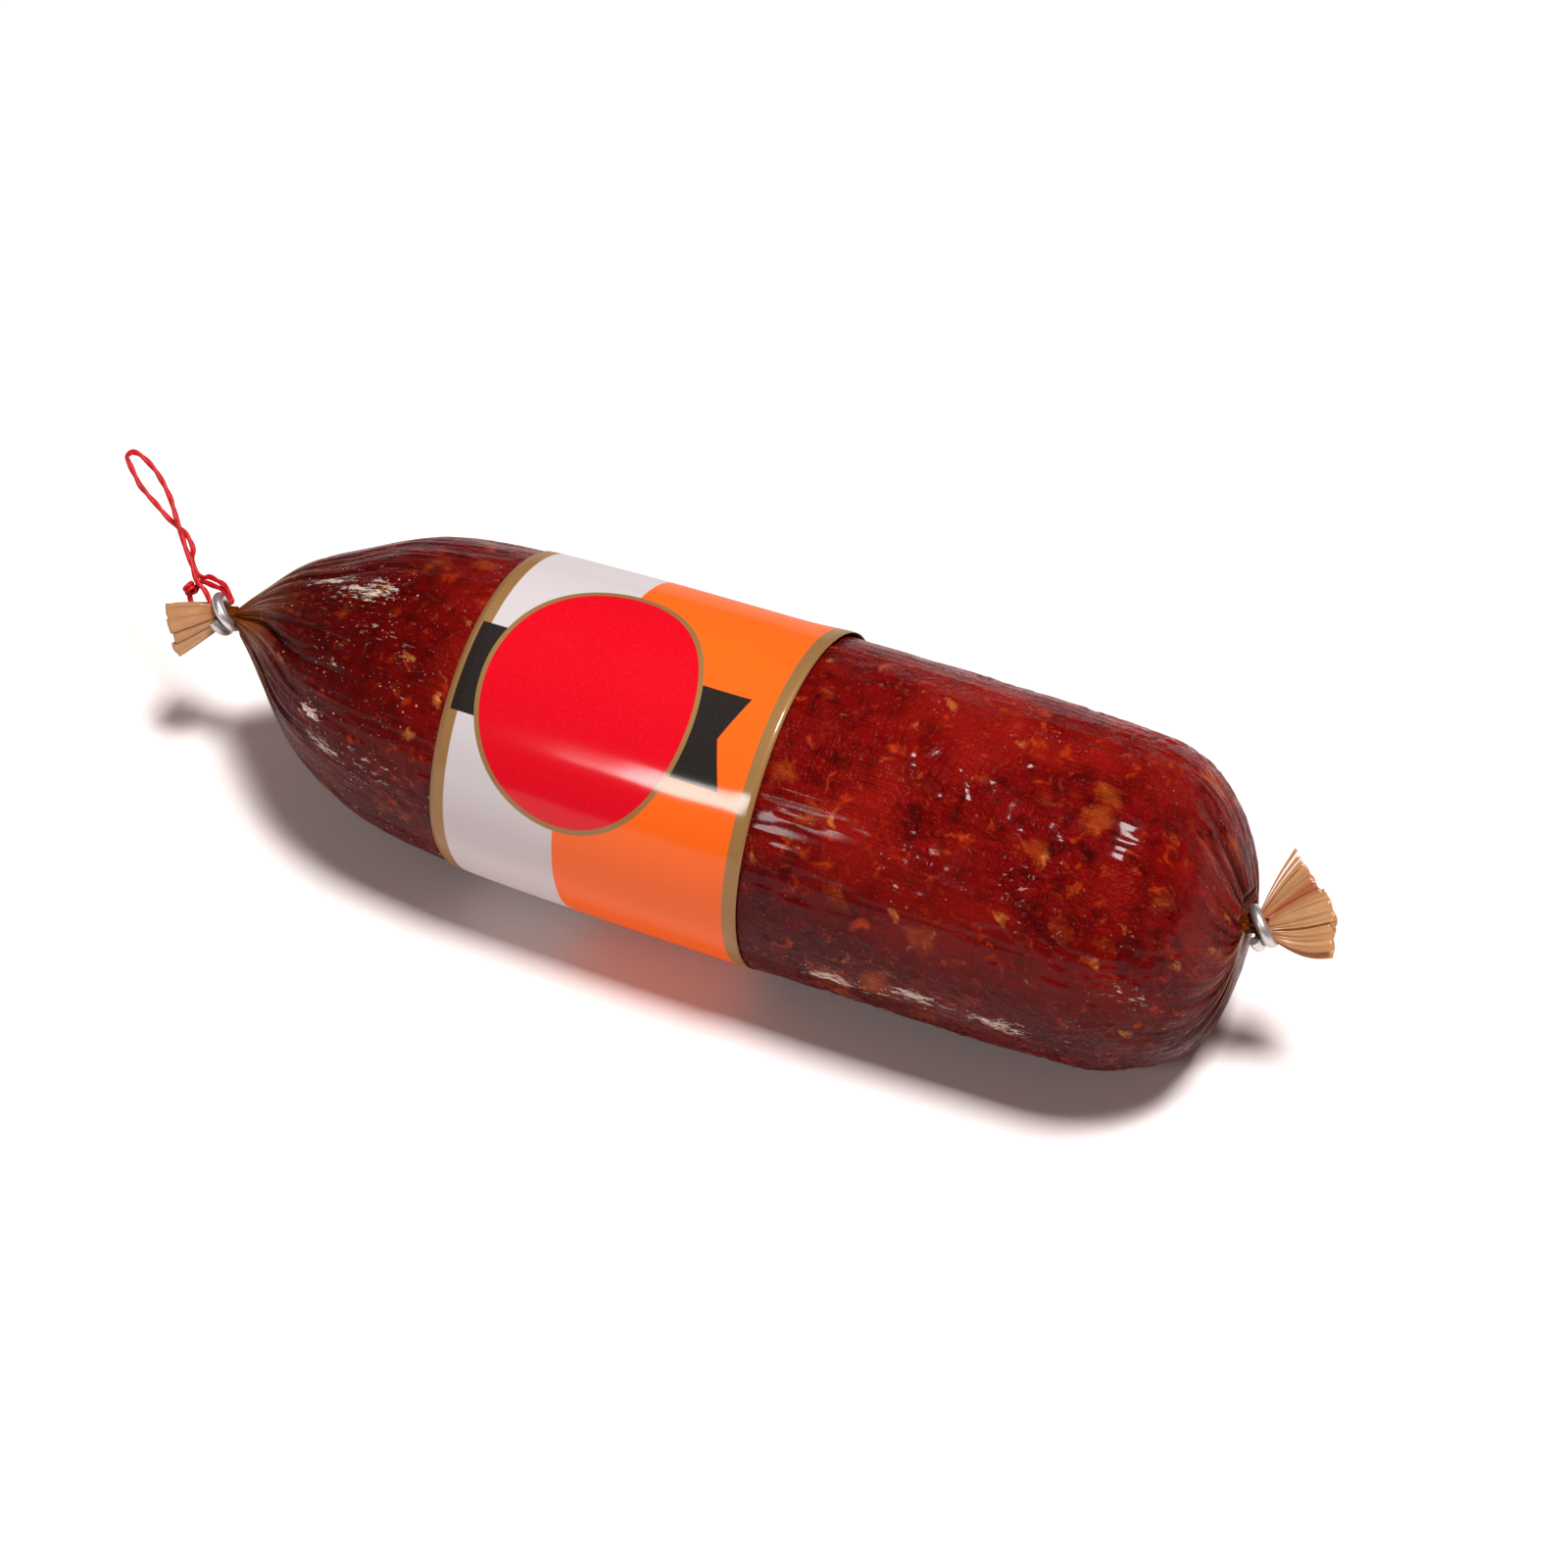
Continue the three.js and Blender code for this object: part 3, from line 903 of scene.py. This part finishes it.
def fan_sheet(end, spread, low, high, length, lift, seed, pleats, bow):
    """One strip of an empty casing end, between two angles of the fan, as a thin closed sheet."""
    random = np.random.default_rng(seed)
    columns = max(7, round((high - low) / 0.8))
    rows = 24
    turn = np.radians(np.linspace(low, high, columns))
    out = np.linspace(0.02, 1, rows)
    turns, outs = np.meshgrid(turn, out, indexing="ij")
    jag = 1 + 0.018 * np.sin(turns * 9 + seed) + 0.01 * np.sin(turns * 31 + 2 * seed)
    reach = outs * length * jag
    share = turns / math.radians(spread)
    opened = smooth(0, 7, reach)
    lateral = 2.9 * share + reach * np.sin(turns) + bow * np.minimum(share, 0.2) * np.sin(
        math.pi * outs
    )
    forward = reach * np.cos(turns)
    rounding = np.sqrt(np.clip(1 - share**2, 0, 1)) * 2.7
    side = 1 if lift > 0 else -1
    degrees = np.degrees(turns) + random.uniform(0, 30)
    folds = np.sin(degrees * 0.55 + seed) + 0.45 * np.sin(degrees * 1.5 + 2 * seed)
    fine = np.abs(np.sin(degrees * 0.8 + seed)) - 0.6
    height = (1 - opened) * rounding * side + opened * lift
    height += pleats * (0.26 * folds + 0.1 * fine) * smooth(0, 6, reach)
    normal = np.cross(end.way, end.across)
    middle = (
        end.clip + forward[..., None] * end.way + lateral[..., None] * end.across
        + height[..., None] * normal
    ).reshape(-1, 3)
    half = 0.11
    points = np.vstack([middle + normal * half, middle - normal * half])
    faces = [face[::-1] for face in sheet_faces(columns, rows)]
    place = np.column_stack([
        turns.ravel(), outs.ravel(), np.full(turns.size, seed * 0.37 % 5),
    ])
    return points, faces, np.vstack([place, place])


# Strips of each fan: from and to in degrees, length in millimetres, lift off the fan's middle.
PLAIN_FAN = [
    (-36, -12, 19.6, -1.4), (-14, 12, 19.8, -1.7), (10, 34, 18.4, -1.3),
    (-31, -8, 18.6, 0.9), (-10, 10, 19.8, 1.5), (8, 24, 18.8, 1.0), (20, 33, 19.2, 0.5),
    (33.5, 37, 19.4, 0.8), (37.5, 40.5, 20.4, 0.2), (41.5, 44, 21.2, -0.3),
]
LOOP_FAN = [
    (-17, -4, 17.0, -2.2), (-6, 8, 17.8, -2.5), (6, 17, 18.2, -2.0),
    (-17, -6, 17.2, 1.9), (-7, 3, 17.8, 2.6), (2, 10, 16.8, 2.3), (8, 18, 18.4, 1.7),
]


def fan_piece(name, end, spread, strips, seed, material, pleats, bow):
    parts = [
        fan_sheet(end, spread, low, high, length, lift, seed + i, pleats, bow)
        for i, (low, high, length, lift) in enumerate(strips)
    ]
    points, faces, places = joined(parts)
    made = mesh_object(name, points, faces, material)
    add_attribute(made, "fan", "FLOAT_VECTOR", places)
    return made


def wire_tree(material):
    """Geometry nodes: a helix of wire with flat cut ends."""
    tree = bpy.data.node_groups.new("wrapped_wire", "GeometryNodeTree")
    face = tree.interface
    defaults = {
        "Wrap Radius": WRAP_R * MM, "Wire Radius": WIRE_R * MM,
        "Turns": WIRE_TURNS, "Rise": WIRE_PITCH * WIRE_TURNS * MM,
    }
    for name, default in defaults.items():
        item = face.new_socket(name, in_out="INPUT", socket_type="NodeSocketFloat")
        item.default_value = default
    face.new_socket("Geometry", in_out="OUTPUT", socket_type="NodeSocketGeometry")

    def node(kind, **settings):
        made = tree.nodes.new(kind)
        for key, value in settings.items():
            setattr(made, key, value)
        return made

    inputs = node("NodeGroupInput")
    output = node("NodeGroupOutput")
    helix = node("GeometryNodeCurveSpiral")
    helix.inputs["Resolution"].default_value = 96
    helix.inputs["Reverse"].default_value = True
    section = node("GeometryNodeCurvePrimitiveCircle", mode="RADIUS")
    section.inputs["Resolution"].default_value = 28
    sweep = node("GeometryNodeCurveToMesh")
    sweep.inputs["Fill Caps"].default_value = True
    parameter = node("GeometryNodeSplineParameter")
    store = node("GeometryNodeStoreNamedAttribute", data_type="FLOAT_VECTOR", domain="POINT")
    store.inputs["Name"].default_value = "wire"
    combine = node("ShaderNodeCombineXYZ")
    shade = node("GeometryNodeSetShadeSmooth")
    realize = node("GeometryNodeRealizeInstances")
    finish = node("GeometryNodeSetMaterial")
    finish.inputs["Material"].default_value = material
    for source, output_name, target, input_name in (
        (inputs, "Turns", helix, "Rotations"),
        (inputs, "Wrap Radius", helix, "Start Radius"),
        (inputs, "Wrap Radius", helix, "End Radius"),
        (inputs, "Rise", helix, "Height"),
        (inputs, "Wire Radius", section, "Radius"),
        (parameter, "Length", combine, "X"),
        (helix, "Curve", store, "Geometry"),
        (combine, "Vector", store, "Value"),
        (store, "Geometry", sweep, "Curve"),
        (section, "Curve", sweep, "Profile Curve"),
        (sweep, "Mesh", shade, "Geometry"),
        (shade, "Geometry", realize, "Geometry"),
        (realize, "Geometry", finish, "Geometry"),
        (finish, "Geometry", output, "Geometry"),
    ):
        tree.links.new(source.outputs[output_name], target.inputs[input_name])
    return tree


def set_input(modifier, name, value):
    items = modifier.node_group.interface.items_tree
    key = next(i.identifier for i in items if i.name == name and i.in_out == "INPUT")
    modifier[key] = value


def baked(made):
    """A plain mesh of what the modifiers give, without them."""
    graph = bpy.context.evaluated_depsgraph_get()
    mesh = bpy.data.meshes.new_from_object(made.evaluated_get(graph))
    made.modifiers.clear()
    made.data = mesh
    return made


def clip_piece(name, end, tree, look, material):
    made = mesh_object(name, [(0, 0, 0)], [], material)
    modifier = made.modifiers.new("wrapped_wire", "NODES")
    modifier.node_group = tree
    set_input(modifier, "Wire Radius", look.wire)
    set_input(modifier, "Wrap Radius", look.wrap)
    baked(made)
    half_rise = WIRE_PITCH * WIRE_TURNS / 2
    side = unit(end.wire_start - np.dot(end.wire_start, end.tilt) * end.tilt)
    place = Matrix.Identity(4)
    for column, axis in enumerate((side, np.cross(end.tilt, side), end.tilt)):
        for row in range(3):
            place[row][column] = axis[row]
    start = (end.clip - end.tilt * half_rise) * MM
    made.data.transform(Matrix.Translation(start) @ place)
    made.data.update()
    return made


def string_loop(material):
    start = LOOP_END.clip + LOOP_END.tilt * 3.2 + STRING_SIDE * 2.2
    stop = LOOP_END.clip - LOOP_END.tilt * 3.4 + STRING_SIDE * 2.2
    path = smooth_path([start, *LOOP_ROUTE, stop], 8)
    points, faces, places = twisted(path)
    made = mesh_object("hanging_string", points, faces, material)
    add_attribute(made, "ply", "FLOAT_VECTOR", places)
    return made, path


def string_knot(material):
    """The tied lump: the second run over the clip winds twice round, and ends in the cut end."""
    axis = unit((-5.4, 3.6, 3.3))
    one = unit(np.cross(axis, (0.27, -0.63, 0.73)))
    two = np.cross(axis, one)
    turns = np.linspace(0, 2 * math.pi * 2.1, 22)[:, None]
    wound = np.array(KNOT) + one * np.cos(turns) * 1.25 + two * np.sin(turns) * 1.25
    wound = wound + axis * (turns / turns[-1] - 0.5) * 2.6
    neck = LOOP_END.clip - LOOP_END.tilt * 3.2 + STRING_SIDE * 1.6
    path = smooth_path([neck, *SECOND_RUN[::-1][:-1], *wound, *CUT_END], 6)
    points, faces, places = twisted(path)
    made = mesh_object("string_knot", points, faces, material)
    add_attribute(made, "ply", "FLOAT_VECTOR", places)
    return made


# ---- settings ----
def colour(name, description, default):
    return FloatVectorProperty(
        name=name, description=description, default=default, subtype="COLOR", size=3, min=0, max=1
    )


def size(name, description, default, low, high):
    return FloatProperty(
        name=name, description=description, default=default, min=low, max=high,
        unit="LENGTH", subtype="DISTANCE",
    )


class CasingLook(bpy.types.PropertyGroup):
    """Colours of the meat under its casing, and of the casing's empty ends."""

    # deep_red also paints shade: the creases, the fold valleys and the underside are darkened with
    # it.
    deep_red: colour("Deep red", "Dark meat, and the bottom of a crease", (0.036, 0.0008, 0.0008))
    red: colour("Red", "Most of the meat", (0.15, 0.0018, 0.0014))
    bright_red: colour("Bright red", "The lighter patches of meat", (0.25, 0.006, 0.003))
    orange_red: colour("Orange red", "Small flecks of fat under a red skin", (0.42, 0.04, 0.004))
    fat: colour("Fat", "Large flecks of fat", (0.43, 0.078, 0.009))
    pale_fat: colour("Pale fat", "The palest flecks of fat", (0.62, 0.22, 0.045))
    pepper: colour("Pepper", "Cracked pepper", (0.012, 0.006, 0.004))
    amber: colour("Amber", "Casing gathered at the necks", (0.36, 0.085, 0.006))
    bloom: colour("Bloom", "Dry white bloom on the casing", (0.72, 0.6, 0.5))
    straw: colour("Straw", "The casing's empty ends", (0.7, 0.4, 0.18))
    straw_dark: colour("Dark straw", "Folds of the casing's empty ends", (0.44, 0.21, 0.085))
    stain: colour("Stain", "A streak on the fan at the plain end", (0.26, 0.03, 0.002))


class PaperLook(bpy.types.PropertyGroup):
    """Colours of the paper band."""

    orange: colour("Orange", "The wider field of the band", (0.8, 0.115, 0.008))
    white: colour("White", "The narrower field of the band", (0.52, 0.475, 0.485))
    gold: colour("Gold", "The strips along both edges", (0.28, 0.15, 0.052))
    badge: colour("Badge", "The bare oval badge", (0.6, 0.001, 0.01))
    ribbon: colour("Ribbon", "The ribbon behind the badge", (0.016, 0.013, 0.012))


class StringLook(bpy.types.PropertyGroup):
    """Colours of the string."""

    string: colour("String", "The string's plies", (0.5, 0.002, 0.005))
    string_dark: colour("Dark string", "Between the string's plies", (0.26, 0.001, 0.003))


class ClipLook(bpy.types.PropertyGroup):
    """Size of the wire clips."""

    wire: size("Wire radius", "Radius of the clips' wire", WIRE_R * MM, 0.001, 0.0025)
    wrap: size("Wrap radius", "From the neck's middle to the wire's", WRAP_R * MM, 0.004, 0.007)


class StageLook(bpy.types.PropertyGroup):
    """The floor and the light over it."""

    floor: colour("Floor", "The floor's colour", (0.92, 0.84, 0.82))
    surroundings: colour("Surroundings", "The light from all round", (1.0, 0.6, 0.56))
    softbox: FloatProperty(
        name="Softbox", description="Power of the overhead softbox", default=122, min=0, max=300,
        unit="POWER",
    )
    front: FloatProperty(
        name="Front light", description="Power of the light in front", default=3.6, min=0, max=200,
        unit="POWER",
    )
    fill: FloatProperty(
        name="Fill", description="Strength of the light from all round", default=0.125, min=0, max=3
    )


# ---- operators ----
def finished(made, nodes):
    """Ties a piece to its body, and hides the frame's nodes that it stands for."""
    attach(made, BODY)
    if nodes:
        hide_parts(*nodes)
    return made


class SALAMI_OT_camera(bpy.types.Operator):
    """Sets the camera in front and above, turned a little to the loop end's side."""

    bl_idname = "salami.camera"
    bl_label = "Camera"

    def execute(self, context):
        around, above, away = math.radians(23.2), math.radians(46.5), 950 * MM
        target = Vector((16.0, 4.3, 46.8)) * MM
        back = Vector((
            math.sin(around) * math.cos(above),
            -math.cos(around) * math.cos(above),
            math.sin(above),
        ))
        data = bpy.data.cameras.new("camera")
        data.lens = 77.4
        data.sensor_width = 36
        camera = bpy.data.objects.new("camera", data)
        camera.location = target + back * away
        camera.rotation_euler = back.to_track_quat("Z", "Y").to_euler()
        context.collection.objects.link(camera)
        context.scene.camera = camera
        return {"FINISHED"}


class SALAMI_OT_string(bpy.types.Operator):
    """Makes the stiff string loop and the knot at its foot."""

    bl_idname = "salami.string"
    bl_label = "String loop"

    def execute(self, context):
        material = string_material(context.scene.salami_string)
        knot = finished(string_knot(material), ["loop_knot"])
        loop, path = string_loop(material)
        finished(loop, ["hanging_loop"])
        return {"FINISHED"}


class SALAMI_OT_skin(bpy.types.Operator):
    """Makes the stuffed body's skin in two lengths that meet under the band."""

    bl_idname = "salami.skin"
    bl_label = "Skin"

    def execute(self, context):
        material = casing_material(context.scene.salami_casing)
        middle = along_at(-22)
        loop_half = skin_part("skin_loop_half", 0, middle, 230, 400, material)
        plain_half = skin_part("skin_plain_half", middle, BODY_LENGTH, 235, 400, material)
        for made in (loop_half, plain_half):
            finished(made, ["sausage"])
        return {"FINISHED"}


class SALAMI_OT_ends(bpy.types.Operator):
    """Makes the empty ends of the casing beyond the clips."""

    bl_idname = "salami.ends"
    bl_label = "Empty ends"

    def execute(self, context):
        look = context.scene.salami_casing
        plain = tail_material("casing_fan", look, stain=True)
        gathered = tail_material("casing_roll", look, stain=False)
        fan = fan_piece("plain_end_fan", PLAIN_END, 45, PLAIN_FAN, 40, plain, 0.8, 3.4)
        roll = fan_piece("loop_end_roll", LOOP_END, 18, LOOP_FAN, 70, gathered, 1.0, 0.4)
        for made in (fan, roll):
            finished(made, ["sausage"])
        return {"FINISHED"}


class SALAMI_OT_clips(bpy.types.Operator):
    """Makes the two wire clips."""

    bl_idname = "salami.clips"
    bl_label = "Wire clips"

    def execute(self, context):
        look = context.scene.salami_clips
        material = wire_material()
        tree = wire_tree(material)
        for node, end in (("clip_loop_end", LOOP_END), ("clip_plain_end", PLAIN_END)):
            made = clip_piece(node.replace("clip", "wire_clip"), end, tree, look, material)
            finished(made, [node])
        return {"FINISHED"}


class SALAMI_OT_band(bpy.types.Operator):
    """Makes the printed paper band."""

    bl_idname = "salami.band"
    bl_label = "Paper band"

    def execute(self, context):
        made = band_shell(paper_material(context.scene.salami_paper))
        finished(made, ["paper_band"])
        return {"FINISHED"}


def area_light(name, place, target, wide, tall, power):
    data = bpy.data.lights.new(name, "AREA")
    data.shape = "RECTANGLE"
    data.size = wide
    data.size_y = tall
    data.energy = power
    made = bpy.data.objects.new(name, data)
    made.location = place
    toward = Vector(target) - Vector(place)
    made.rotation_euler = toward.to_track_quat("-Z", "Y").to_euler()
    bpy.context.collection.objects.link(made)
    return made


class SALAMI_OT_stage(bpy.types.Operator):
    """Makes the plain floor and the soft light over it."""

    bl_idname = "salami.stage"
    bl_label = "Stage"

    def execute(self, context):
        look = context.scene.salami_stage
        n = Nodes("floor")
        shader = n.surface({"Base Color": look.floor, "Roughness": 0.85})
        material = n.finish(shader.outputs["BSDF"])
        side = 3000
        corners = [(-side, -side, 0), (side, -side, 0), (side, side, 0), (-side, side, 0)]
        floor = mesh_object("floor", corners, [[0, 1, 2, 3]], material, smooth_faces=False)
        softbox = area_light("softbox", (0.62, 0.03, 2.9), (0, 0, 0), 0.78, 0.78, look.softbox)
        front = area_light("front", (-0.42, -1.14, 0.84), (0, 0, 0.07), 0.12, 0.28, look.front)
        world = bpy.data.worlds.new("surroundings")
        world.use_nodes = True
        sky = world.node_tree.nodes["Background"]
        sky.inputs["Color"].default_value = (*look.surroundings, 1)
        sky.inputs["Strength"].default_value = look.fill
        context.scene.world = world
        context.scene.view_settings.view_transform = "Standard"
        return {"FINISHED"}


class SALAMI_PT_panel(bpy.types.Panel):
    """Lists the pieces and their settings."""

    bl_idname = "SALAMI_PT_panel"
    bl_label = "Whole salami"
    bl_space_type = "VIEW_3D"
    bl_region_type = "UI"
    bl_category = "Salami"

    def draw(self, context):
        layout = self.layout
        for operator in OPERATORS:
            layout.operator(operator.bl_idname)
        for key, group in SETTINGS.items():
            box = layout.box()
            for name in group.__annotations__:
                box.prop(getattr(context.scene, key), name)


OPERATORS = [
    SALAMI_OT_camera, SALAMI_OT_string, SALAMI_OT_skin, SALAMI_OT_ends, SALAMI_OT_clips,
    SALAMI_OT_band, SALAMI_OT_stage,
]
SETTINGS = {
    "salami_casing": CasingLook,
    "salami_paper": PaperLook,
    "salami_string": StringLook,
    "salami_clips": ClipLook,
    "salami_stage": StageLook,
}


def register():
    for kind in (*SETTINGS.values(), *OPERATORS, SALAMI_PT_panel):
        bpy.utils.register_class(kind)
    for key, group in SETTINGS.items():
        setattr(bpy.types.Scene, key, PointerProperty(type=group))


def unregister():
    for key in SETTINGS:
        delattr(bpy.types.Scene, key)
    for kind in (SALAMI_PT_panel, *reversed(OPERATORS), *reversed(SETTINGS.values())):
        bpy.utils.unregister_class(kind)


def main():
    register()
    bpy.ops.salami.camera()
    bpy.ops.salami.string()
    bpy.ops.salami.skin()
    bpy.ops.salami.ends()
    bpy.ops.salami.clips()
    bpy.ops.salami.band()
    bpy.ops.salami.stage()
    bpy.context.view_layer.update()


if __name__ == "__main__":
    main()
